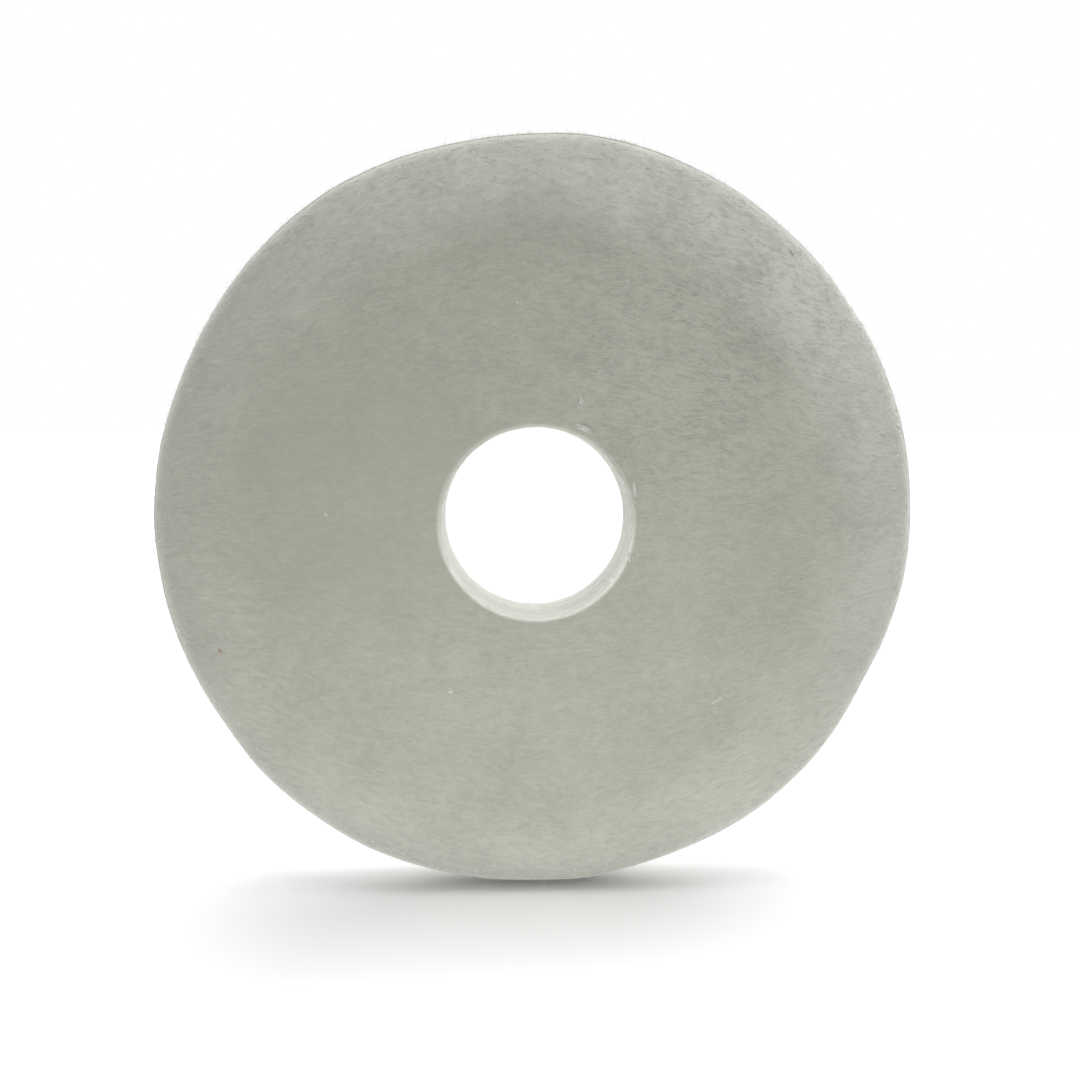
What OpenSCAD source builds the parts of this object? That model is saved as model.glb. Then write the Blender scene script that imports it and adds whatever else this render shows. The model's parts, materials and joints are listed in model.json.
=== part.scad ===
// Felt polishing wheel: pressed wool felt plies bonded face to face around a plain arbor bore.
// The wheel stands on edge: its centre is the origin, it spins about Y and its front face looks along -Y.

/* [Wheel] */
// Outside diameter of the wheel
wheel_d = 112; // [90:1:160]
// Thickness of the whole wheel, from face to face
wheel_t = 12.7; // [11:0.1:26]
// Diameter of the arbor bore
bore_d = 27.5; // [12:0.5:32]

/* [Rim and bore edges] */
// Radius that rolls each face over into the rim
shoulder_r = 4.5; // [2:0.1:5]
// Width of the outer band of each face, where it starts to fall away
crown_w = 9; // [6:0.5:14]
// How far a face has fallen away by the time it would reach the rim
crown_drop = 0.6; // [0.2:0.1:1]
// Size of the eased edge at each end of the bore
bore_lip = 0.4; // [0.2:0.1:1]

/* [Plies] */
// Thickness of the adhesive film between two plies
film_t = 0.1; // [0.05:0.05:0.3]
// How far each film stops short of the rim and of the bore
film_inset = 1.5; // [1:0.1:3]

/* [Hidden] */
// Plies between the two faces, all of one felt sheet
PLY_COUNT = 4;
// Facets of a full turn
$fn = 180;

wheel_r = wheel_d / 2;
bore_r = bore_d / 2;
half_t = wheel_t / 2;
// Thickness of one ply, once the films have their share
ply_t = (wheel_t - (PLY_COUNT - 1) * film_t) / PLY_COUNT;
// Distance from one ply to the same face of the next
ply_pitch = ply_t + film_t;

FELT_COLOUR = "#a6a89d";
FILM_COLOUR = "#c9b98c";

// The sections below lie in one plane: the radius runs along x, the spin axis along y.

// Rectangle from the axis to the rim, with both outer corners rolled over
module rolled_section() {
    square_r = wheel_r - shoulder_r;
    straight_t = wheel_t - 2 * shoulder_r;
    translate([0, -half_t])
        square([square_r, wheel_t]);
    translate([0, -straight_t / 2])
        square([wheel_r, straight_t]);
    for (side = [-1, 1])
        translate([square_r, side * straight_t / 2])
            circle(r = shoulder_r);
}

// Outline that tapers gently over the outer band of both faces
module crowned_section() {
    band_r = wheel_r - crown_w;
    edge_y = half_t - crown_drop;
    polygon([
        [0, -half_t],
        [band_r, -half_t],
        [wheel_r, -edge_y],
        [wheel_r, edge_y],
        [band_r, half_t],
        [0, half_t]
    ]);
}

// The bore, opened out at both ends by the eased edges
module bore_section() {
    lip_r = bore_r + bore_lip;
    lip_y = half_t - bore_lip;
    polygon([
        [0, -half_t],
        [lip_r, -half_t],
        [bore_r, -lip_y],
        [bore_r, lip_y],
        [lip_r, half_t],
        [0, half_t]
    ]);
}

// Half of the whole wheel's section
module wheel_section() {
    difference() {
        intersection() {
            rolled_section();
            crowned_section();
        }
        bore_section();
    }
}

// Turns what is drawn round the Z axis and lays that axis along +Y
module along_y() {
    rotate([-90, 0, 0])
        children();
}

// One felt ply, counted from 0 at the front face
module ply(index) {
    color(FELT_COLOUR)
        along_y()
            rotate_extrude()
                intersection() {
                    wheel_section();
                    translate([0, -half_t + index * ply_pitch])
                        square([wheel_r, ply_t]);
                }
}

// One adhesive film, on the back of the ply with the same number
module bond_film(index) {
    inner_r = bore_r + film_inset;
    // Distance from the wheel's middle to the film's outer side, where the rolled edge is narrower
    joint_y = abs(-half_t + index * ply_pitch + ply_t + film_t / 2) + film_t / 2;
    roll_y = max(0, joint_y - (half_t - shoulder_r));
    joint_r = wheel_r - shoulder_r + sqrt(shoulder_r * shoulder_r - roll_y * roll_y);
    color(FILM_COLOUR)
        along_y()
            rotate_extrude()
                translate([inner_r, -half_t + index * ply_pitch + ply_t])
                    square([joint_r - film_inset - inner_r, film_t]);
}

module front_face_ply() {
    ply(0);
}

module front_bond_film() {
    bond_film(0);
}

module front_core_ply() {
    ply(1);
}

module middle_bond_film() {
    bond_film(1);
}

module back_core_ply() {
    ply(2);
}

module back_bond_film() {
    bond_film(2);
}

module back_face_ply() {
    ply(3);
}

front_face_ply();
front_bond_film();
front_core_ply();
middle_bond_film();
back_core_ply();
back_bond_film();
back_face_ply();
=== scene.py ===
"""Looks of the felt polishing wheel: fibrous felt plies, stray fibres, studio and camera.

The wheel stands on edge and spins about Y. Its front face looks along -Y, towards the camera.
Lengths are in metres, or in millimetres where a comment says so, as in the tables of fibres.
"""

import itertools
import json
import math

import bpy
import numpy as np
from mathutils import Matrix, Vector


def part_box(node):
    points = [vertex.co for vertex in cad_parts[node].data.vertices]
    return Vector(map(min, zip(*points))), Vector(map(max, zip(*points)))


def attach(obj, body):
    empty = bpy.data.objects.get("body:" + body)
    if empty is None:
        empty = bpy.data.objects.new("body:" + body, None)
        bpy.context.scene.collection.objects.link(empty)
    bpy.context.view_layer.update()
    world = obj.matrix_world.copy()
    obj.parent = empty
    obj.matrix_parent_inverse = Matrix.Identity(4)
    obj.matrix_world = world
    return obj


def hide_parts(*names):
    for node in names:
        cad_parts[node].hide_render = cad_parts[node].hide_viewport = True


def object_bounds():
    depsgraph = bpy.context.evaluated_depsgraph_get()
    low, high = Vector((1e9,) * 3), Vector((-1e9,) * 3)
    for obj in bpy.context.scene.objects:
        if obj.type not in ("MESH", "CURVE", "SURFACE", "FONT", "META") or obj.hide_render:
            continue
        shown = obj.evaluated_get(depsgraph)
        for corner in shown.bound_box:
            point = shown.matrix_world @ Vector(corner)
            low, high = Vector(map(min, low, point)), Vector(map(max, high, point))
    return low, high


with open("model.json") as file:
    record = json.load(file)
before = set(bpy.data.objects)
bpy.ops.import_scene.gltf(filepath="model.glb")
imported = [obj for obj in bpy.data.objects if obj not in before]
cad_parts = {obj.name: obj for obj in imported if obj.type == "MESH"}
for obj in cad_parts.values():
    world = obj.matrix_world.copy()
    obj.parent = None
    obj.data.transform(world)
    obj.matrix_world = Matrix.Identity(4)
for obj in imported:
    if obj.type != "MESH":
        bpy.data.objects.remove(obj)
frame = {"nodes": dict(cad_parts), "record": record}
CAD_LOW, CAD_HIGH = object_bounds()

MM = 0.001

# ---------------------------------------------------------------- sizes, from the frame

mounts = {mount["name"]: mount for mount in frame["record"]["mounts"]}
BORE_R = mounts["arbor_bore"]["dims"]["r_mm"] * MM
WHEEL_R = (CAD_HIGH.x - CAD_LOW.x) / 2
HALF_T = (CAD_HIGH.y - CAD_LOW.y) / 2
FLOOR_Z = CAD_LOW.z

# The rim's rolled edge: the face starts to fall at CROWN_W from the rim, reaches ROLL_TILT,
# and then rolls over on an arc into the straight rim.
SHOULDER_R = 4.5 * MM
CROWN_W = 10.5 * MM
ROLL_TILT = math.radians(10)
CROWN_END_R = WHEEL_R - SHOULDER_R * (1 - math.sin(ROLL_TILT))
CROWN_START_R = WHEEL_R - CROWN_W
CROWN_DROP = (CROWN_END_R - CROWN_START_R) * math.tan(ROLL_TILT) / 2
ROLL_CENTRE_Y = HALF_T - CROWN_DROP - SHOULDER_R * math.cos(ROLL_TILT)
LIP_R = 0.5 * MM  # rounding of the bore's two edges
SEAM_EASE = 0.15 * MM  # rounding of a ply's edges next to a bond film
# A film stops this far short of the rim and of the bore. Past it the two plies close up, each by
# SEAM_CLOSE, and the seam between them sways along the spin axis by up to SEAM_SWAY.
FILM_INSET = WHEEL_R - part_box("middle_bond_film")[1].x
SEAM_CLOSE = 0.035 * MM
SEAM_SWAY = 0.16 * MM
SAME = 0.01 * MM  # depths closer than this count as the same
# The wool lies across the wheel, along X. Its strands bow outwards above and below the bore,
# by this share of their height where they reach the rim.
LIE_BULGE = 0.6

PLIES = {
    "front_face_felt": "front_face_ply",
    "front_core_felt": "front_core_ply",
    "back_core_felt": "back_core_ply",
    "back_face_felt": "back_face_ply",
}
# Number of each ply, counted from the front
NUMBERS = {name: number for number, name in enumerate(PLIES, 1)}
TONES = {  # how pale each ply's wool is
    "front_face_felt": 1.0, "front_core_felt": 0.97, "back_core_felt": 1.02, "back_face_felt": 0.99,
}
SPANS = {name: tuple(corner.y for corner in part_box(node)) for name, node in PLIES.items()}
FILMS = ("front_bond_film", "middle_bond_film", "back_bond_film")
# Distances of the seams from the wheel's middle
SEAM_DEPTHS = [0, sum(corner.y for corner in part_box("back_bond_film")) / 2]

# Flats that hand trimming left in the outline: angle and half width in degrees, then depth
OUTLINE_FLATS = (
    (45, 22, 0.35 * MM),
    (100, 15, 0.70 * MM),
    (152, 20, 0.55 * MM),
    (207, 13, 0.25 * MM),
    (268, 15, 0.60 * MM),
    (292, 10, 0.50 * MM),
    (333, 12, 0.60 * MM),
)
# Marks left by the press and by flanges: radius as a share of the wheel's, middle angle and
# half width in degrees, then depth
PRESS_RINGS = (
    (0.85, 40, 26, 0.10 * MM),
    (0.72, 97, 36, 0.09 * MM),
    (0.45, 75, 52, 0.07 * MM),
    (0.80, 250, 40, 0.05 * MM),
)


# ---------------------------------------------------------------- camera

CAMERA_DISTANCE = 160 * MM
CAMERA_ABOVE = math.radians(5.66)
CAMERA_LEFT = math.radians(1.5)
FRAME_CENTRE = Vector((0.5 * MM, -HALF_T, -2.4 * MM))  # what the middle of the picture shows


def make_camera():
    data = bpy.data.cameras.new("camera")
    data.lens = 37
    data.sensor_width = 36
    camera = bpy.data.objects.new("camera", data)
    away = Vector((
        -math.sin(CAMERA_LEFT) * math.cos(CAMERA_ABOVE),
        -math.cos(CAMERA_LEFT) * math.cos(CAMERA_ABOVE),
        math.sin(CAMERA_ABOVE),
    ))
    camera.location = Vector((0, -HALF_T, 0)) + away * CAMERA_DISTANCE
    look = FRAME_CENTRE - camera.location
    camera.rotation_mode = "QUATERNION"
    camera.rotation_quaternion = look.to_track_quat("-Z", "Y")
    bpy.context.scene.collection.objects.link(camera)
    bpy.context.scene.camera = camera


make_camera()


# ---------------------------------------------------------------- noise and relief

SEED_STEP = 11  # from the noise seeds of one ply to those of the next


def smoothstep(low, high, value):
    share = np.clip((value - low) / (high - low), 0, 1)
    return share * share * (3 - 2 * share)


def value_noise(points, seed):
    """Smooth noise from -1 to 1 at each row of points, with one lattice cell per unit."""
    cell = np.floor(points).astype(np.int64)
    # Place in the cell, from 0 to 1, eased so that the slope is level at the cell's walls
    share = points - cell
    share = share * share * (3 - 2 * share)
    total = np.zeros(len(points))
    for corner in itertools.product((0, 1), repeat=3):
        at = cell + corner
        # The corner's place and the seed are hashed into its value
        mixed = at[:, 0] * 73856093 ^ at[:, 1] * 19349663 ^ at[:, 2] * 83492791 ^ seed * 2654435
        mixed = (mixed ^ (mixed >> 13)) * 1274126177 & 0xFFFFFFFF
        value = ((mixed ^ (mixed >> 15)) & 0xFFFF) / 32767.5 - 1
        weight = np.prod(np.where(corner, share, 1 - share), axis=1)
        total += value * weight
    return total


def angle_gap(angles, middle_deg):
    """Distance in degrees from each angle, in radians, to a middle angle in degrees."""
    return np.abs((np.degrees(angles) - middle_deg + 180) % 360 - 180)


def felt_relief(x, y, z, seed):
    """How far the felt stands proud of its plain surface: lumps, tufts and strands in its lie."""
    wander = 1.2 * MM * value_noise(np.c_[x, y, z] / (6 * MM), seed + 4)
    across = z * (1 + LIE_BULGE * (x / WHEEL_R) ** 2) + wander
    lumps = value_noise(np.c_[x, y, z] / (8 * MM), seed)
    tufts = value_noise(np.c_[x, y, z] / (2.4 * MM), seed + 1)
    grain = value_noise(np.c_[x, y, z] / (1.2 * MM), seed + 2)
    strands = value_noise(np.c_[across / 1.3, y / 1.3, x / 6] / MM, seed + 3)
    return (0.050 * lumps + 0.026 * tufts + 0.016 * grain + 0.026 * strands) * MM


def ring_relief(x, z):
    """The shallow press rings in the two open faces."""
    r, angle = np.hypot(x, z), np.arctan2(z, x)
    sunk = np.zeros_like(r)
    for share, middle, half_width, depth in PRESS_RINGS:
        window = np.exp(-((angle_gap(angle, middle) / half_width) ** 2))
        wobble = 0.35 * MM * value_noise(np.c_[x, z, 0 * z] / (5 * MM), int(middle))
        sunk += depth * window * np.exp(-(((r - share * WHEEL_R + wobble) / (0.8 * MM)) ** 2))
    return -sunk


def outline_loss(angle):
    """How far the trimmed outline lies inside a true circle at each angle."""
    x, z = np.cos(angle), np.sin(angle)
    loss = 0.08 * MM * (1 + value_noise(np.c_[x, z, 0 * z] * 9, 90))
    for middle, half_width, depth in OUTLINE_FLATS:
        loss = loss + depth * np.exp(-((angle_gap(angle, middle) / half_width) ** 2))
    return loss


def drawn_in(r, angle, seed):
    """How far trimming draws a point at radius r inwards: all of it at the rim, none further in."""
    x, z = np.cos(angle), np.sin(angle)
    own = 0.07 * MM * value_noise(np.c_[x, z, 0 * z] * 3.5, seed + 7)
    return (outline_loss(angle) + own) * smoothstep(WHEEL_R - 16 * MM, WHEEL_R - 3 * MM, r)


# ---------------------------------------------------------------- the wheel's section

# Distances between the points of a section
WALL_STEP = 0.45 * MM
FACE_STEP = 0.52 * MM
RIM_STEP = 0.32 * MM
TURNS = 640  # sections round the wheel


def roll_radius(y):
    """Radius of the rim, or of the rolled edge, at a distance y from the wheel's middle."""
    past = np.maximum(0, np.abs(y) - ROLL_CENTRE_Y)
    return WHEEL_R - SHOULDER_R + np.sqrt(np.maximum(0, SHOULDER_R**2 - past**2))


def face_height(r):
    """Distance from the wheel's middle to its open face at radius r, short of the roll."""
    past = np.clip(r - CROWN_START_R, 0, CROWN_END_R - CROWN_START_R)
    return HALF_T - math.tan(ROLL_TILT) * past**2 / (2 * (CROWN_END_R - CROWN_START_R))


def eased(distance):
    """How far a rounded edge lies back at a distance from the seam."""
    short = np.clip(SEAM_EASE - distance, 0, SEAM_EASE)
    return SEAM_EASE - np.sqrt(SEAM_EASE**2 - short**2)


def along_depth(start, end, spacing):
    """Depths from start to end with extra ones beside both, where an edge may be rounded."""
    near = SEAM_EASE * np.array([0, 0.08, 0.3, 0.6, 1])
    steps = max(2, round((abs(end - start) - 2 * SEAM_EASE) / spacing))
    inner = np.linspace(SEAM_EASE, abs(end - start) - SEAM_EASE, steps + 1)[1:-1]
    distances = np.concatenate([near, inner, (abs(end - start) - near)[::-1]])
    return start + math.copysign(1, end - start) * distances


def seam_radii(rim_r):
    """Radii of a ply's hidden side, from the bore to the rim, with more of them past the film."""
    bore_side = BORE_R + FILM_INSET * np.array([0.35, 0.7, 1])
    rim_side = rim_r - FILM_INSET * np.array([1, 0.7, 0.35])
    return np.concatenate([bore_side, np.linspace(bore_side[-1], rim_side[0], 5)[1:-1], rim_side])


def face_ply_section(seam):
    """Closed section of an outer ply, as if it were the back one: its seam lies at depth seam."""
    wall_y = along_depth(seam, HALF_T - LIP_R, WALL_STEP)
    wall = np.c_[BORE_R + eased(wall_y - seam), wall_y]
    turn = np.radians(np.linspace(15, 90, 6))
    lip = np.c_[BORE_R + LIP_R * (1 - np.cos(turn)), HALF_T - LIP_R * (1 - np.sin(turn))]
    face_r = np.arange(BORE_R + LIP_R + 0.3 * MM, CROWN_END_R, FACE_STEP)
    face = np.c_[face_r, face_height(face_r)]
    roll_stop = math.acos((seam + SEAM_EASE - ROLL_CENTRE_Y) / SHOULDER_R)
    tilt = np.linspace(ROLL_TILT, roll_stop, 13)
    roll = np.c_[
        WHEEL_R - SHOULDER_R * (1 - np.sin(tilt)), ROLL_CENTRE_Y + SHOULDER_R * np.cos(tilt)
    ]
    edge_y = seam + SEAM_EASE * np.array([0.6, 0.3, 0.08, 0])
    edge = np.c_[roll_radius(edge_y) - eased(edge_y - seam), edge_y]
    hidden_r = seam_radii(roll_radius(seam))[::-1]
    hidden = np.c_[hidden_r, np.full(len(hidden_r), seam)]
    return np.concatenate([wall, lip, face, roll, edge, hidden])


def core_ply_section(low, high):
    """Closed section of an inner ply between the depths low and high."""
    wall_y = along_depth(low, high, WALL_STEP)
    ease = eased(np.minimum(wall_y - low, high - wall_y))
    wall = np.c_[BORE_R + ease, wall_y]
    top_r, bottom_r = seam_radii(roll_radius(high)), seam_radii(roll_radius(low))
    top = np.c_[top_r, np.full(len(top_r), high)]
    rim_y = along_depth(high, low, RIM_STEP)
    rim = np.c_[roll_radius(rim_y) - eased(np.minimum(rim_y - low, high - rim_y)), rim_y]
    bottom = np.c_[bottom_r[::-1], np.full(len(bottom_r), low)]
    return np.concatenate([wall, top, rim, bottom])


def section_normals(section):
    """Outward normals of a closed section that runs with the felt on its right."""
    tangent = np.roll(section, -1, axis=0) - np.roll(section, 1, axis=0)
    tangent /= np.linalg.norm(tangent, axis=1)[:, None]
    return np.c_[-tangent[:, 1], tangent[:, 0]]


# ---------------------------------------------------------------- meshes

ANY_WAY = (0.31, 0.55, 0.77)  # a slanting direction, for fibres that lie on nothing


def new_object(name, vertices, faces, smooth=True):
    mesh = bpy.data.meshes.new(name)
    mesh.from_pydata(vertices.tolist(), [], faces)
    mesh.polygons.foreach_set("use_smooth", [smooth] * len(mesh.polygons))
    mesh.update()
    made = bpy.data.objects.new(name, mesh)
    bpy.context.scene.collection.objects.link(made)
    return made


def seam_shift(r, angle, depth):
    """How far a seam's two sides sway together along Y, and how far each of them closes up."""
    past_film = 1 - smoothstep(0.2, 1, np.minimum(r - BORE_R, roll_radius(depth) - r) / FILM_INSET)
    x, z = np.cos(angle), np.sin(angle)
    sway = value_noise(np.c_[x, z, 0 * z] * r[:, None] / (9 * MM), 50 + round(depth / MM))
    return SEAM_SWAY * sway * past_film, SEAM_CLOSE * past_film


def worked(ply, r, y, angle, normal_r, normal_y, proud=0.0):
    """Points of a ply's felt, or proud of it: relief, rings, seams and trimming worked in."""
    seed = SEED_STEP * NUMBERS[ply]
    low, high = SPANS[ply]
    share = (y - low) / (high - low)
    x, z = r * np.cos(angle), r * np.sin(angle)
    relief = felt_relief(x, y, z, seed)
    relief += np.where(np.abs(np.abs(y) - face_height(r)) < SAME, ring_relief(x, z), 0)
    shift = 0
    for depth, nearness, outward in ((low, 1 - share, -1), (high, share, 1)):
        if abs(depth) < HALF_T - SAME:
            # The relief dies away beside a seam
            relief = relief * smoothstep(0, 0.5 * MM, np.abs(y - depth))
            sway, close = seam_shift(r, angle, depth)
            shift = shift + nearness * (sway + outward * close)
    trimmed_r = r + (relief + proud) * normal_r - drawn_in(r, angle, seed)
    worked_y = y + (relief + proud) * normal_y + shift
    return np.c_[trimmed_r * np.cos(angle), worked_y, trimmed_r * np.sin(angle)]


def turned_ply(name, section):
    """Turns a section round the Y axis."""
    count = len(section)
    normals = np.tile(section_normals(section), (TURNS, 1))
    angle = np.repeat(np.linspace(0, 2 * math.pi, TURNS, endpoint=False), count)
    r, y = np.tile(section, (TURNS, 1)).T
    vertices = worked(name, r, y, angle, normals[:, 0], normals[:, 1])
    here = np.arange(TURNS)[:, None] * count + np.arange(count)
    along = np.roll(here, -1, axis=1)
    faces = np.stack(
        [here, along, np.roll(along, -1, axis=0), np.roll(here, -1, axis=0)], axis=2
    ).reshape(-1, 4)
    return new_object(name, vertices, faces.tolist())


def strand_mesh(name, paths, radii, inward=ANY_WAY):
    """Closed three-sided tubes along paths, an array of strands by joints by 3.

    One flat side of each tube faces away from inward.
    """
    strands, joints, _ = paths.shape
    tangent = np.gradient(paths, axis=1)
    tangent /= np.linalg.norm(tangent, axis=2)[:, :, None] + 1e-12
    side = np.cross(tangent, np.array(inward))
    side /= np.linalg.norm(side, axis=2)[:, :, None] + 1e-12
    other = np.cross(tangent, side)
    taper = 0.3 + 0.7 * np.sin(np.linspace(0.15, math.pi - 0.15, joints))
    width = radii[:, None] * taper
    rings = [
        paths + width[:, :, None] * (math.cos(turn) * side + math.sin(turn) * other)
        for turn in np.radians([30, 150, 270])
    ]
    vertices = np.stack(rings, axis=2).reshape(-1, 3)
    start = np.arange(strands)[:, None, None] * joints * 3
    ring = np.arange(joints - 1)[None, :, None] * 3
    corner = np.arange(3)[None, None, :]
    after = (corner + 1) % 3
    a = (start + ring + corner).ravel()
    b = (start + ring + after).ravel()
    first = np.arange(strands) * joints * 3
    last = first + (joints - 1) * 3
    faces = np.c_[a, b, b + 3, a + 3].tolist()
    faces += np.c_[first + 2, first + 1, first].tolist()
    faces += np.c_[last, last + 1, last + 2].tolist()
    return new_object(name, vertices, faces, smooth=False)


def joined_strands(name, batches):
    """One mesh of several batches of strands, each with its paths, radii and inward sides."""
    return strand_mesh(name, *(np.concatenate(parts) for parts in zip(*batches)))


# ---------------------------------------------------------------- fibres

JOINTS = 5  # points along a fibre
FACE_FIBRES = 10400  # laid on each open face, before the barer patches lose theirs
RIM_FIBRES = 1700  # laid on the rim of each inner ply
BURR_SPLINTERS = 3  # side by side in each burr
RIM_FUZZ = 6000  # fibres that stand out of each half of the rim
BORE_FUZZ = 2400  # fibres that stand out of the bore
FRAYED = 0.33  # share of the rim's fuzz that frays out of a seam
AT_BORE_EDGE = 0.7  # share of the bore's fuzz that stands at its two edges
# Least and greatest length, then least and greatest radius, of each kind of fibre, all in mm
FACE_LENGTHS, FACE_RADII = (0.6, 2.6), (0.018, 0.046)
RIM_LENGTHS, RIM_RADII = (0.8, 3.5), (0.016, 0.038)
# Least and greatest radius of the fibres in a tuft, in a burr and in the two kinds of fuzz, in mm
TUFT_RADII, BURR_RADII = (0.020, 0.042), (0.06, 0.10)
RIM_FUZZ_RADII, BORE_FUZZ_RADII = (0.014, 0.026), (0.013, 0.024)
FIBRE_BEND = 0.15  # how much a fibre turns steadily from joint to joint, in radians
FIBRE_KINK = 0.2  # how much it turns by chance at each joint, in radians

# Bits of loose wool on the front face: start and end as x, z in mm, the fibres in the bit, how
# far they spread at its start and end in mm, and how far they stand off the felt in mm
LOOSE_BITS = (
    ((6.2, 18.6), (6.6, 16.3), 12, 0.03, 0.26, 0.30),
    ((5.6, 14.1), (7.9, 13.2), 30, 0.22, 0.16, 0.30),
    ((10.7, 8.8), (12.2, 6.4), 9, 0.10, 0.16, 0.10),
    ((14.0, 6.0), (14.2, 3.7), 10, 0.10, 0.08, 0.15),
    ((13.2, -4.3), (13.6, -5.7), 12, 0.14, 0.18, 0.20),
    ((-2.9, 31.5), (-2.5, 31.2), 14, 0.12, 0.12, 0.20),
    ((-30.6, 1.4), (-29.7, 1.2), 8, 0.12, 0.12, 0.10),
    ((-13.0, -24.6), (-12.2, -24.8), 9, 0.14, 0.14, 0.10),
    ((25.6, -26.9), (27.6, -25.6), 8, 0.10, 0.14, 0.10),
    ((43.2, 23.2), (43.5, 22.8), 9, 0.09, 0.10, 0.15),
)
# Straw-coloured burrs left in the wool: ply, x and z in mm, length in mm
BURRS = (
    ("front_face_felt", 37.0, 38.0, 1.7),
    ("front_face_felt", -46.4, -18.2, 0.9),
    ("front_face_felt", 21.5, -33.0, 0.7),
    ("back_face_felt", -20.0, 27.5, 1.4),
    ("back_face_felt", 33.0, -12.0, 0.9),
    ("back_face_felt", 8.0, 41.0, 0.8),
)


def skin(girth):
    """Radius, depth and tilt of the outer section at a girth, the way run out past the crown."""
    arc = SHOULDER_R * (math.pi / 2 - ROLL_TILT)
    face_r = CROWN_END_R + np.minimum(girth, 0)
    crown = np.clip((face_r - CROWN_START_R) / (CROWN_END_R - CROWN_START_R), 0, 1)
    tilt = ROLL_TILT + np.clip(girth, 0, arc) / SHOULDER_R
    roll_r = WHEEL_R - SHOULDER_R * (1 - np.sin(tilt))
    roll_y = ROLL_CENTRE_Y + SHOULDER_R * np.cos(tilt) - np.maximum(girth - arc, 0)
    on_face = girth < 0
    r = np.where(on_face, face_r, roll_r)
    y = np.where(on_face, face_height(face_r), roll_y)
    return r, y, np.where(on_face, ROLL_TILT * crown, tilt)


def laid_strands(ply, girths, angles, radii, lift=0.0):
    """Paths, radii and inward sides of strands that lie in a ply's skin.

    Their ends sink into the felt and their middles lie proud.
    """
    side = math.copysign(1, sum(SPANS[ply]))
    arch = np.sin(np.linspace(0, math.pi, JOINTS))
    proud = -1.0 * radii[:, None] + (1.1 * radii[:, None] + np.reshape(lift, (-1, 1))) * arch
    r, y, tilt = skin(girths.ravel())
    normal_y = side * np.cos(tilt)
    points = worked(ply, r, side * y, angles.ravel(), np.sin(tilt), normal_y, proud.ravel())
    middle, tilt = angles[:, JOINTS // 2], tilt.reshape(girths.shape)[:, JOINTS // 2]
    outward = np.c_[np.sin(tilt) * np.cos(middle), side * np.cos(tilt), np.sin(tilt) * np.sin(middle)]
    return points.reshape(girths.shape + (3,)), radii, -outward[:, None, :]


def wandering(ply, rng, girth, around, heading, lengths):
    """Girths and angles of wandering fibres that stay on one ply. Heading 0 is along +X."""
    count = len(girth)
    girths, angles = np.zeros((count, JOINTS)), np.zeros((count, JOINTS))
    bend = rng.normal(0, FIBRE_BEND, count)
    for joint in range(JOINTS):
        girths[:, joint], angles[:, joint] = girth, around
        step = lengths / (JOINTS - 1)
        turn = heading - around
        girth = girth + step * np.cos(turn)
        around = around + step * np.sin(turn) / skin(girth)[0]
        heading = heading + bend + rng.normal(0, FIBRE_KINK, count)
    r, y, _ = skin(girths)
    nearest, furthest = sorted(abs(depth) for depth in SPANS[ply])
    on_ply = (r > BORE_R + 0.6 * MM) & (y > nearest + 0.08 * MM) & (y < furthest + SAME)
    kept = on_ply.all(axis=1)
    return girths[kept], angles[kept]


def face_fibres(name, ply, seed):
    """Loose fibres that lie in an open face, most of them in the wool's lie."""
    rng = np.random.default_rng(seed)
    squares = rng.uniform((BORE_R + 1 * MM) ** 2, (WHEEL_R - 0.4 * MM) ** 2, FACE_FIBRES)
    girth = np.sqrt(squares) - CROWN_END_R
    around = rng.uniform(0, 2 * math.pi, FACE_FIBRES)
    # Loose wool comes in patches, and more of it was left at the upper right
    x, z = np.sqrt(squares) * np.cos(around), np.sqrt(squares) * np.sin(around)
    patch = value_noise(np.c_[x, z, 0 * z] / (11 * MM), seed)
    rich = rng.random(FACE_FIBRES) < 0.70 + 0.4 * patch + 0.30 * (x + 0.6 * z) / WHEEL_R
    girth, around = girth[rich], around[rich]
    # They follow the strands' bow, and stray from it least above and below the bore
    stray = 0.2 + 0.35 * np.cos(around) ** 2
    heading = -0.5 * LIE_BULGE * np.sin(2 * around) + stray * rng.normal(0, 1, len(around))
    lengths = rng.uniform(*FACE_LENGTHS, len(around)) * MM
    girths, angles = wandering(ply, rng, girth, around, heading, lengths)
    radii = rng.uniform(*FACE_RADII, len(girths)) * MM
    return strand_mesh(name, *laid_strands(ply, girths, angles, radii))


def rim_fibres(name, plies, seed):
    """Loose fibres that lie in the rim of the inner plies, most of them along it."""
    rng = np.random.default_rng(seed)
    batches = []
    for ply in plies:
        girth = rng.uniform(0.2, 9, RIM_FIBRES) * MM
        around = rng.uniform(0, 2 * math.pi, RIM_FIBRES)
        heading = around + math.pi / 2 + rng.normal(0, 0.4, RIM_FIBRES)
        lengths = rng.uniform(*RIM_LENGTHS, RIM_FIBRES) * MM
        girths, angles = wandering(ply, rng, girth, around, heading, lengths)
        radii = rng.uniform(*RIM_RADII, len(girths)) * MM
        batches.append(laid_strands(ply, girths, angles, radii))
    return joined_strands(name, batches)


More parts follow.
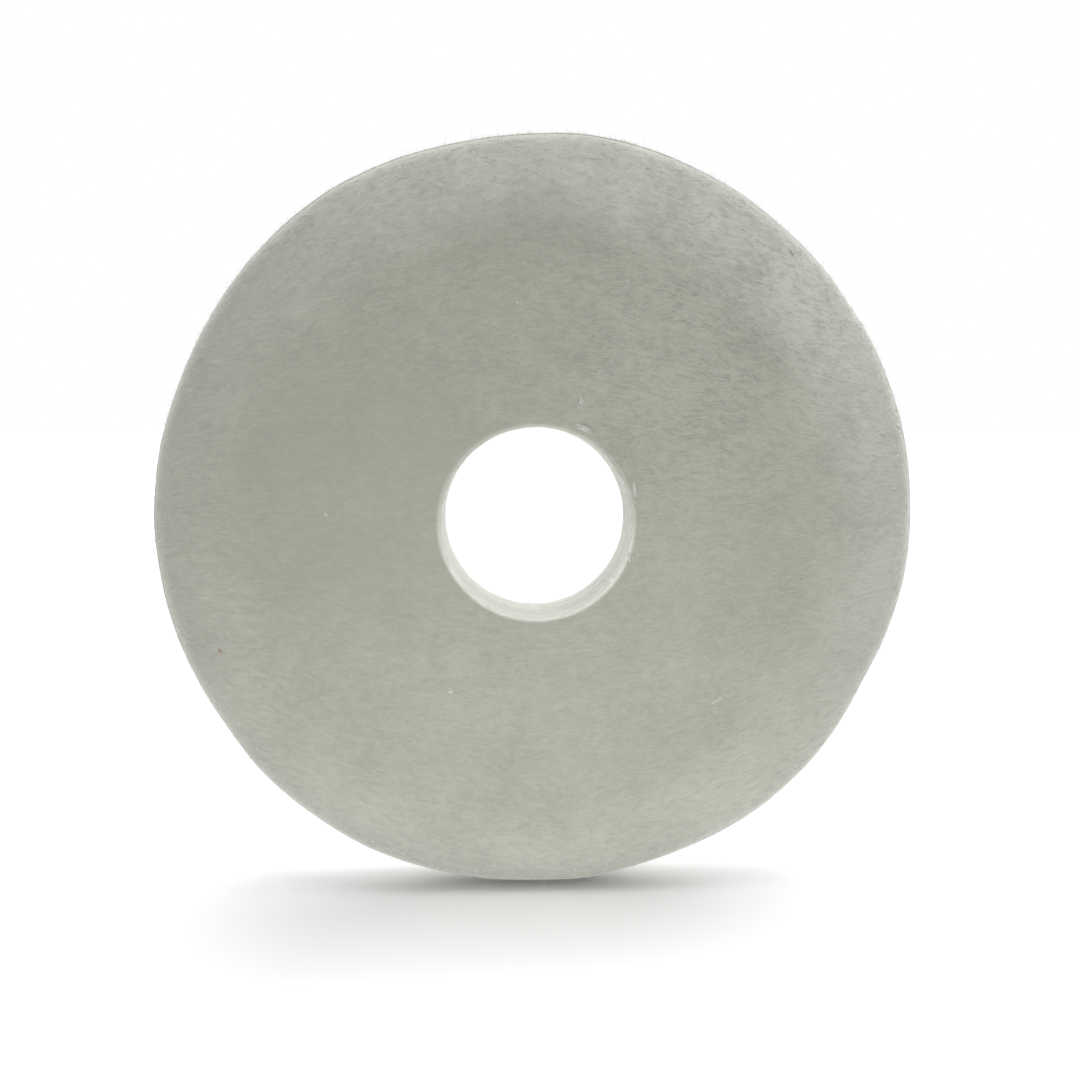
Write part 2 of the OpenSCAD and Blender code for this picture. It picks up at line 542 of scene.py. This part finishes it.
def bundle(rng, start, end, count, spread_start, spread_end):
    """Girths and angles of fibres side by side from start to end, as x, z pairs in metres."""
    share = np.linspace(0, 1, JOINTS)[None, :]
    run = np.array(end) - np.array(start)
    across = np.array([-run[1], run[0]]) / np.linalg.norm(run)
    offset = rng.normal(0, 1, (count, 1)) * (spread_start * (1 - share) + spread_end * share)
    offset = offset + rng.normal(0, 0.4, (count, JOINTS)) * max(spread_start, spread_end)
    first, last = rng.uniform(-0.1, 0.15, (count, 1)), rng.uniform(0.8, 1.1, (count, 1))
    along = first + (last - first) * share
    x = start[0] + run[0] * along + across[0] * offset
    z = start[1] + run[1] * along + across[1] * offset
    return np.hypot(x, z) - CROWN_END_R, np.arctan2(z, x)


def loose_bits(name, seed):
    """The few tufts and specks of loose wool on the front face."""
    rng = np.random.default_rng(seed)
    batches = []
    for start, end, count, spread_start, spread_end, stand in LOOSE_BITS:
        start, end = np.array(start) * MM, np.array(end) * MM
        girths, angles = bundle(rng, start, end, count, spread_start * MM, spread_end * MM)
        radii = rng.uniform(*TUFT_RADII, count) * MM
        lift = rng.uniform(0, stand, count) * MM
        batches.append(laid_strands("front_face_felt", girths, angles, radii, lift))
    return joined_strands(name, batches)


def burrs(name, seed):
    """Splinters of straw pressed into both faces with the wool."""
    rng = np.random.default_rng(seed)
    batches = []
    for ply, x, z, length in BURRS:
        start = np.array([x, z]) * MM
        turn = math.atan2(z, x) + math.pi / 2 + rng.normal(0, 0.2)
        end = start + MM * length * np.array([math.cos(turn), math.sin(turn)])
        girths, angles = bundle(rng, start, end, BURR_SPLINTERS, 0.07 * MM, 0.07 * MM)
        radii = rng.uniform(*BURR_RADII, BURR_SPLINTERS) * MM
        batches.append(laid_strands(ply, girths, angles, radii, 0.05 * MM))
    return joined_strands(name, batches)


def wisps(rng, roots, normals, lengths, lean, curl):
    """Paths of fibres that leave the felt at roots, lean over and curl."""
    count = len(roots)
    heading = normals + lean * rng.normal(0, 1, (count, 3))
    heading /= np.linalg.norm(heading, axis=1)[:, None]
    twist = rng.normal(0, 1, (count, 3))
    points = np.zeros((count, JOINTS, 3))
    at = roots.copy()
    for joint in range(JOINTS):
        points[:, joint] = at
        at = at + heading * (lengths / (JOINTS - 1))[:, None]
        heading = heading + curl * (twist + rng.normal(0, 0.6, (count, 3)))
        heading /= np.linalg.norm(heading, axis=1)[:, None]
    return points


def rim_fuzz(name, side, seed):
    """Short fibres that stand out of one half of the rim and of its rolled edge."""
    rng, count = np.random.default_rng(seed), RIM_FUZZ
    y = rng.uniform(0, 1, count) * (HALF_T - CROWN_DROP - 0.1 * MM)
    seam = rng.choice(SEAM_DEPTHS, count)
    frayed = rng.random(count) < FRAYED
    y = side * np.where(frayed, np.abs(seam + rng.normal(0, 0.12 * MM, count)), y)
    around = rng.uniform(0, 2 * math.pi, count)
    x, z = np.cos(around), np.sin(around)
    past = np.clip(np.abs(y) - ROLL_CENTRE_Y, 0, SHOULDER_R) / SHOULDER_R
    normals = np.c_[x * np.sqrt(1 - past**2), side * past, z * np.sqrt(1 - past**2)]
    r = roll_radius(y) - outline_loss(around) - 0.12 * MM
    roots = np.c_[x * r, y, z * r]
    lengths = (0.30 + rng.gamma(1.6, 0.20, count)) * MM
    paths = wisps(rng, roots, normals, lengths, 0.7, 0.3)
    return strand_mesh(name, paths, rng.uniform(*RIM_FUZZ_RADII, count) * MM)


def bore_fuzz(name, seed):
    """Short fibres round both edges of the bore and on its wall."""
    rng, count = np.random.default_rng(seed), BORE_FUZZ
    around = rng.uniform(0, 2 * math.pi, count)
    x, z = np.cos(around), np.sin(around)
    at_edge = rng.random(count) < AT_BORE_EDGE
    edge_y = np.sign(rng.uniform(-1, 1, count)) * (HALF_T - 0.15 * MM)
    y = np.where(at_edge, edge_y, rng.uniform(-1, 1, count) * HALF_T * 0.95)
    r = BORE_R + np.where(at_edge, 0.2, 0.05) * MM
    normals = np.c_[-x, np.where(at_edge, np.sign(y) * 0.8, 0), -z]
    lengths = (0.2 + rng.gamma(1.5, 0.16, count)) * MM
    paths = wisps(rng, np.c_[x * r, y, z * r], normals, lengths, 0.8, 0.35)
    return strand_mesh(name, paths, rng.uniform(*BORE_FUZZ_RADII, count) * MM)


# ---------------------------------------------------------------- materials

# Colours of the felt, as linear red, green and blue
FELT_SHADE = (0.290, 0.297, 0.250)  # hollows
FELT_BODY = (0.376, 0.386, 0.326)  # the pressed face
BAND_SHADE = (0.378, 0.387, 0.340)  # hollows in the outer band, whose paleness is partly looser wool and partly painted highlight
FELT_BAND = (0.540, 0.553, 0.491)  # the outer band: looser, paler wool, with painted highlight where the band's mask is strongest
CUT_SHADE = (0.740, 0.753, 0.685)  # hollows in the cut bore and rim, which also carry painted highlight
CUT_WOOL = (0.870, 0.885, 0.810)  # clean wool in the cut bore and rim, pale enough to carry the painted highlight on the bore's lower wall
FELT_FIBRE = (0.410, 0.421, 0.367)  # single fibres in the face
BAND_FIBRE = (0.560, 0.573, 0.522)  # single fibres in the outer band, paler with its painted highlight
CALM_FIBRE = (0.370, 0.380, 0.325)  # single fibres in the smoother felt
FIBRE_SHADE = (0.335, 0.344, 0.292)  # the darkest of the loose fibres
FUZZ_DARK = (0.66, 0.68, 0.62)
FUZZ_PALE = (0.82, 0.84, 0.79)
TUFT_DARK = (0.56, 0.575, 0.52)
TUFT_PALE = (0.68, 0.695, 0.64)
BURR_DARK = (0.33, 0.25, 0.185)
BURR_PALE = (0.43, 0.345, 0.265)
ADHESIVE_DARK = (0.30, 0.25, 0.15)
ADHESIVE_PALE = (0.46, 0.41, 0.28)
FLOOR_DARK = (0.88, 0.88, 0.88)
FLOOR_PALE = (0.92, 0.92, 0.92)

# How much each kind of mark adds to the felt's mottle and to its relief
MOTTLE_WEIGHTS = {"strands": 0.24, "grain": 0.14, "tufts": 0.22, "ground": 0.22}
RELIEF_WEIGHTS = {"curls": 0.4, "grain": 0.5, "strands": 0.65, "tufts": 1.5}
MOTTLE_MIDDLE = 0.34  # the mottle that looks the same in smooth and in rough felt
CURL_COVER = 0.35  # how far a curled fibre's colour covers the felt's
NOISE_STEP = 37.0  # from the noise of one ply to that of the next, in millimetres


def tint(colour, tone):
    return tuple(tone * c for c in colour) + (1.0,)


class Nodes:
    """A material's node tree, with short ways to add and link nodes."""

    def __init__(self, name):
        self.material = bpy.data.materials.new(name)
        self.material.use_nodes = True
        self.tree = self.material.node_tree
        self.shader = self.tree.nodes["Principled BSDF"]

    def add(self, kind, inputs=(), **settings):
        node = self.tree.nodes.new(kind)
        for key, value in settings.items():
            setattr(node, key, value)
        for socket, value in dict(inputs).items():
            self.feed(node.inputs[socket], value)
        return node

    def feed(self, socket, value):
        if isinstance(value, bpy.types.NodeSocket):
            self.tree.links.new(value, socket)
        else:
            socket.default_value = value

    def set(self, name, value):
        self.feed(self.shader.inputs[name], value)

    def maths(self, operation, first, second=0.0):
        return self.add("ShaderNodeMath", {0: first, 1: second}, operation=operation).outputs[0]

    def plus(self, first, second):
        return self.maths("ADD", first, second)

    def times(self, first, second):
        return self.maths("MULTIPLY", first, second)

    def weighed(self, values, weights):
        """Sum of the named values, each times its weight."""
        total = 0.0
        for key, weight in weights.items():
            total = self.plus(self.times(values[key], weight), total)
        return total

    def mix(self, share, first, second):
        node = self.add("ShaderNodeMix", data_type="RGBA")
        self.feed(node.inputs["Factor"], share)
        self.feed(node.inputs[6], first)
        self.feed(node.inputs[7], second)
        return node.outputs[2]

    def between(self, value, low, high, to_low=0.0, to_high=1.0):
        inputs = {"Value": value, 1: low, 2: high, 3: to_low, 4: to_high}
        return self.add("ShaderNodeMapRange", inputs, interpolation_type="SMOOTHSTEP").outputs[0]

    def bump(self, height, strength, distance):
        inputs = {"Strength": strength, "Distance": distance, "Height": height}
        self.set("Normal", self.add("ShaderNodeBump", inputs).outputs[0])


def felt_places(nodes):
    """Sockets for a point on the wheel: x, depth y, z and radius, in millimetres.

    The felt's and the fibres' materials work in millimetres throughout.
    """
    place = nodes.add("ShaderNodeTexCoord").outputs["Object"]
    split = nodes.add("ShaderNodeSeparateXYZ", {0: place})
    x, y, z = (nodes.times(split.outputs[axis], 1 / MM) for axis in range(3))
    return x, y, z, nodes.maths("SQRT", nodes.plus(nodes.times(x, x), nodes.times(z, z)))


def noise_at(nodes, places, sizes, detail, roughness=0.5, distortion=0.0):
    """Noise whose lumps have the given sizes, in millimetres, along the three places."""
    scaled = {axis: nodes.times(places[axis], 1 / sizes[axis]) for axis in range(3)}
    vector = nodes.add("ShaderNodeCombineXYZ", scaled).outputs[0]
    return nodes.add("ShaderNodeTexNoise", {
        "Vector": vector, "Scale": 1.0, "Detail": detail, "Roughness": roughness,
        "Distortion": distortion,
    }).outputs[0]


def turned(nodes, x, z, degrees):
    """The two places x, z turned about the wheel's axis."""
    cos, sin = math.cos(math.radians(degrees)), math.sin(math.radians(degrees))
    along = nodes.plus(nodes.times(x, cos), nodes.times(z, sin))
    across = nodes.plus(nodes.times(z, cos), nodes.times(x, -sin))
    return along, across


def curled_fibres(nodes, x, across, y):
    """Thin wavy fibres that cross at three angles, 1 on a fibre and 0 beside it."""
    curls = 0.0
    for index, degrees in enumerate((0, 30, -28)):
        run, step = turned(nodes, x, across, degrees)
        places = (run, nodes.plus(step, 11.0 * index), y)
        level = noise_at(nodes, places, (2.4, 0.7, 0.7), 1, 0.5, 0.5)
        off_line = nodes.maths("ABSOLUTE", nodes.plus(level, -0.5))
        curls = nodes.maths("MAXIMUM", nodes.between(off_line, 0.0, 0.045, 1.0, 0.0), curls)
    return curls


def band_and_painted_light_share(nodes, x, z, r, ground):
    """How pale the outer ring is: looser, paler wool near the rim, plus a painted highlight that is
    strongest above and below the bore, weaker towards the bottom and weakest at the left.
    """
    share = nodes.between(nodes.plus(r, nodes.times(ground, 4.0)), 40.5, 55.0)
    # Painted highlight: strongest above and below the bore, less of it towards the bottom, least at
    # the left
    upright = nodes.maths("DIVIDE", nodes.maths("ABSOLUTE", turned(nodes, x, z, 70)[0]), r)
    share = nodes.times(share, nodes.between(upright, 0.2, 0.9, 0.55, 1.0))
    share = nodes.times(share, nodes.between(z, -45.0, -10.0, 0.6, 1.0))
    return nodes.times(share, nodes.between(x, -56.0, -15.0, 0.25, 1.0))


def rim_share(nodes):
    """From 0 on the faces, through the rolled edge, to 1 on the rim and in the bore."""
    normal = nodes.add("ShaderNodeTexCoord").outputs["Normal"]
    depthwise = nodes.add("ShaderNodeSeparateXYZ", {0: normal}).outputs[1]
    return nodes.between(nodes.maths("ABSOLUTE", depthwise), 0.2, 0.97, 1.0, 0.0)


def cut_wool_and_painted_light_share(nodes, z, r, rim):
    """How far the felt takes the pale colour of trimmed wool: in the bore, most in its lower half as
    a painted highlight, and a little at the rim, partly as a painted highlight along the outline.
    """
    bore = nodes.between(r, BORE_R / MM + 0.15, BORE_R / MM + 0.9, 0.85, 0.0)
    # Painted highlight: the lower half of the bore's wall is paler than its upper half
    bore = nodes.times(bore, nodes.between(z, -9.0, 5.0, 1.0, 0.35))
    # The rim takes a little of the pale trimmed-wool colour, partly as a painted highlight along the
    # outline
    return nodes.maths("MAXIMUM", bore, nodes.times(rim, 0.25))


def distance_from(nodes, x, z, spot):
    """Distance in millimetres from a spot on the face, given as x and z."""
    run, rise = nodes.plus(x, -spot[0]), nodes.plus(z, -spot[1])
    return nodes.maths("SQRT", nodes.plus(nodes.times(run, run), nodes.times(rise, rise)))


def roughness_share(nodes, x, z):
    """How rough the felt is: least in a smooth patch left of the bore, most at the upper right."""
    smooth = nodes.between(distance_from(nodes, x, z, (-25.0, 5.0)), 10.0, 26.0, 0.52, 1.0)
    coarse = nodes.between(distance_from(nodes, x, z, (26.0, 26.0)), 8.0, 32.0, 2.1, 1.0)
    return nodes.times(smooth, coarse)


def place_across_lie(nodes, x, z, r, wander):
    """Place across the wool's lie, which bows above and below the bore and wanders most beside it."""
    bow = nodes.times(nodes.times(x, x), LIE_BULGE * (MM / WHEEL_R) ** 2)
    beside = nodes.maths("DIVIDE", nodes.maths("ABSOLUTE", x), r)
    swing = nodes.between(beside, 0.4, 0.9, 2.2, 3.8)
    return nodes.plus(nodes.times(z, nodes.plus(bow, 1.0)), nodes.times(wander, swing))


def broken_curls(nodes, x, y, z, across):
    """Curled fibres in short lengths, with more of them in some patches than in others."""
    broken = noise_at(nodes, (x, y, z), (1.3, 1.3, 1.3), 2)
    patches = noise_at(nodes, (x, y, z), (14, 14, 14), 1)
    curls = nodes.times(curled_fibres(nodes, x, across, y), nodes.between(broken, 0.42, 0.60))
    return nodes.times(curls, nodes.between(patches, 0.3, 0.65, 0.35, 1.0))


def felt_marks(nodes, x, y, z, across):
    """The kinds of mark that make up the felt's colour and relief, each as noise."""
    return {
        "ground": noise_at(nodes, (x, y, z), (9, 9, 9), 3, 0.55),
        "grain": noise_at(nodes, (x, y, z), (0.42, 0.42, 0.42), 2, 0.6),
        "strands": noise_at(nodes, (x, across, y), (1.9, 0.40, 0.40), 3, 0.6, 0.3),
        "tufts": noise_at(nodes, (x, across, y), (1.5, 0.85, 0.85), 1, 0.5, 0.4),
    }


def felt_colour(nodes, tone, mottle, band_and_light, cut_and_light, curls):
    """Colour of the pressed face, of the paler outer ring and of trimmed wool, all mottled; the outer
    ring and the trimmed wool also carry painted highlight.
    """
    face = nodes.mix(mottle, tint(FELT_SHADE, tone), tint(FELT_BODY, tone))
    # Outer band colour: looser wool and painted highlight
    loose = nodes.mix(mottle, tint(BAND_SHADE, tone), tint(FELT_BAND, tone))
    # Trimmed wool colour, which also carries the painted highlight in the bore and at the rim
    cut_and_light_colour = nodes.mix(mottle, tint(CUT_SHADE, tone), tint(CUT_WOOL, tone))
    base = nodes.mix(cut_and_light, nodes.mix(band_and_light, face, loose), cut_and_light_colour)
    fibre = nodes.mix(band_and_light, tint(FELT_FIBRE, tone), tint(BAND_FIBRE, tone))
    return nodes.mix(nodes.times(curls, CURL_COVER), base, fibre)


def felt_material(name, tone, number):
    """Pressed wool felt: wandering strands and curls of pale fibre over a mottled ground."""
    nodes = Nodes(name)
    plain_x, y, z, r = felt_places(nodes)
    x = nodes.plus(plain_x, NOISE_STEP * number)
    wander = noise_at(nodes, (x, y, z), (5, 5, 5), 1)
    across = place_across_lie(nodes, plain_x, z, r, wander)
    rough = roughness_share(nodes, plain_x, z)
    marks = felt_marks(nodes, x, y, z, across)
    marks["curls"] = nodes.times(broken_curls(nodes, x, y, z, across), rough)

    # The rougher felt is more mottled, and a little paler as well
    mottle = nodes.plus(nodes.weighed(marks, MOTTLE_WEIGHTS), -MOTTLE_MIDDLE)
    mottle = nodes.between(nodes.times(mottle, rough), -0.12, 0.26)
    # Paler outer band and trimmed wool, both partly painted highlight
    band_and_light = band_and_painted_light_share(nodes, plain_x, z, r, marks["ground"])
    cut_and_light = cut_wool_and_painted_light_share(nodes, z, r, rim_share(nodes))
    nodes.set("Base Color", felt_colour(nodes, tone, mottle, band_and_light, cut_and_light, marks["curls"]))
    nodes.set("Roughness", nodes.between(marks["grain"], 0.3, 0.7, 0.86, 1.0))
    nodes.set("Sheen Weight", 0.65)
    nodes.set("Sheen Roughness", 0.45)
    nodes.set("Specular IOR Level", 0.2)
    nodes.bump(nodes.times(nodes.weighed(marks, RELIEF_WEIGHTS), rough), 0.66, 0.08 * MM)
    return nodes.material


def fibre_material(name, dark, pale, in_face=False):
    """Loose fibres, each a little different in tone. Those in a face match the felt they lie in."""
    nodes = Nodes(name)
    x, y, z, r = felt_places(nodes)
    shade = nodes.between(noise_at(nodes, (x, y, z), (1.4, 1.4, 1.4), 1), 0.35, 0.65)
    dark, pale = tint(dark, 1), tint(pale, 1)
    if in_face:
        calm = nodes.between(roughness_share(nodes, x, z), 0.5, 1.1, 1.0, 0.0)
        pale = nodes.mix(calm, pale, tint(CALM_FIBRE, 1))
        # Fibres in the outer band take its paler colour, painted highlight included
        pale = nodes.mix(band_and_painted_light_share(nodes, x, z, r, 0.5), pale, tint(BAND_FIBRE, 1))
    nodes.set("Base Color", nodes.mix(shade, dark, pale))
    nodes.set("Roughness", 0.8)
    nodes.set("Specular IOR Level", 0.2)
    return nodes.material


def adhesive_material():
    """Dried adhesive, dull amber with darker and paler patches and a pebbled surface."""
    nodes = Nodes("dried_adhesive")
    place = nodes.add("ShaderNodeTexCoord").outputs["Object"]
    inputs = {"Vector": place, "Scale": 350.0, "Detail": 4.0}
    patches = nodes.add("ShaderNodeTexNoise", inputs).outputs[0]
    share = nodes.between(patches, 0.3, 0.7)
    nodes.set("Base Color", nodes.mix(share, tint(ADHESIVE_DARK, 1), tint(ADHESIVE_PALE, 1)))
    nodes.set("Roughness", nodes.between(patches, 0.3, 0.7, 0.45, 0.7))
    nodes.bump(patches, 0.4, 0.03 * MM)
    return nodes.material


# ---------------------------------------------------------------- the wheel

def make_ply(name, node):
    low, high = SPANS[name]
    if high > HALF_T - SAME:
        section = face_ply_section(low)
    elif low < -HALF_T + SAME:
        section = face_ply_section(-high)[::-1] * np.array([1, -1])
    else:
        section = core_ply_section(low, high)
    ply = turned_ply(name, section)
    ply.data.materials.append(felt_material(name, TONES[name], NUMBERS[name]))
    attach(ply, "root")
    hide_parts(node)


def dress_fibres(piece, material):
    piece.data.materials.append(material)
    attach(piece, "root")


def make_fibres():
    wool = fibre_material("loose_wool", FIBRE_SHADE, FELT_FIBRE, in_face=True)
    fuzz = fibre_material("fuzz", FUZZ_DARK, FUZZ_PALE)
    tufts = fibre_material("tufts", TUFT_DARK, TUFT_PALE)
    straw = fibre_material("straw", BURR_DARK, BURR_PALE)
    dress_fibres(face_fibres("front_face_fibres", "front_face_felt", 5), wool)
    dress_fibres(face_fibres("back_face_fibres", "back_face_felt", 6), wool)
    dress_fibres(rim_fibres("rim_fibres", ("front_core_felt", "back_core_felt"), 13), tufts)
    dress_fibres(rim_fuzz("front_rim_fuzz", -1, 7), fuzz)
    dress_fibres(rim_fuzz("back_rim_fuzz", 1, 12), fuzz)
    dress_fibres(bore_fuzz("bore_fuzz", 8), fuzz)
    dress_fibres(loose_bits("loose_bits", 9), tufts)
    dress_fibres(burrs("burrs", 10), straw)


def dress_films():
    adhesive = adhesive_material()
    for name in FILMS:
        film = frame["nodes"][name]
        film.material_slots[0].link = "OBJECT"
        film.material_slots[0].material = adhesive


for piece_name, node_name in PLIES.items():
    make_ply(piece_name, node_name)
make_fibres()
dress_films()


# ---------------------------------------------------------------- studio

WORLD_LIGHT = 0.5


def make_floor():
    """A wide pale floor that the wheel's rim just touches."""
    reach = 6.0
    corners = np.array([[-1, -1, 0], [1, -1, 0], [1, 1, 0], [-1, 1, 0]]) * reach
    floor = new_object("floor", corners + np.array([0, 0, FLOOR_Z]), [[0, 1, 2, 3]])
    nodes = Nodes("pale_floor")
    place = nodes.add("ShaderNodeTexCoord").outputs["Object"]
    shade = nodes.add("ShaderNodeTexNoise", {"Vector": place, "Scale": 3.0, "Detail": 2.0})
    nodes.set("Base Color", nodes.mix(shade.outputs[0], tint(FLOOR_DARK, 1), tint(FLOOR_PALE, 1)))
    nodes.set("Roughness", 0.9)
    nodes.set("Specular IOR Level", 0.1)
    floor.data.materials.append(nodes.material)


def make_light(kind, name, energy, place, target=(0, 0, 0), **settings):
    data = bpy.data.lights.new(name, kind)
    data.energy = energy
    for key, value in settings.items():
        setattr(data, key, value)
    light = bpy.data.objects.new(name, data)
    light.location = place
    light.rotation_mode = "QUATERNION"
    light.rotation_quaternion = (Vector(target) - light.location).to_track_quat("-Z", "Y")
    light.visible_camera = False
    bpy.context.scene.collection.objects.link(light)


def make_world():
    world = bpy.data.worlds.new("studio")
    world.use_nodes = True
    background = world.node_tree.nodes["Background"]
    background.inputs["Color"].default_value = (1, 1, 1, 1)
    # The background shows as white, and lights the wheel less than that
    seen = world.node_tree.nodes.new("ShaderNodeLightPath").outputs["Is Camera Ray"]
    strength = world.node_tree.nodes.new("ShaderNodeMapRange")
    strength.inputs["To Min"].default_value = WORLD_LIGHT
    world.node_tree.links.new(seen, strength.inputs["Value"])
    world.node_tree.links.new(strength.outputs[0], background.inputs["Strength"])
    bpy.context.scene.world = world
    bpy.context.scene.view_settings.view_transform = "Standard"


make_floor()
make_world()
make_light("SUN", "key", 2.1, (0.3, 0.7, 1.0), angle=math.radians(75))
make_light("SUN", "overhead", 1.15, (0.05, -0.05, 1.0), angle=math.radians(40))
make_light(
    "AREA", "low_fill", 0.0245, (0.001, -0.075, -0.047), target=(0, 0, -0.044),
    shape="RECTANGLE", size=0.08, size_y=0.016,
)
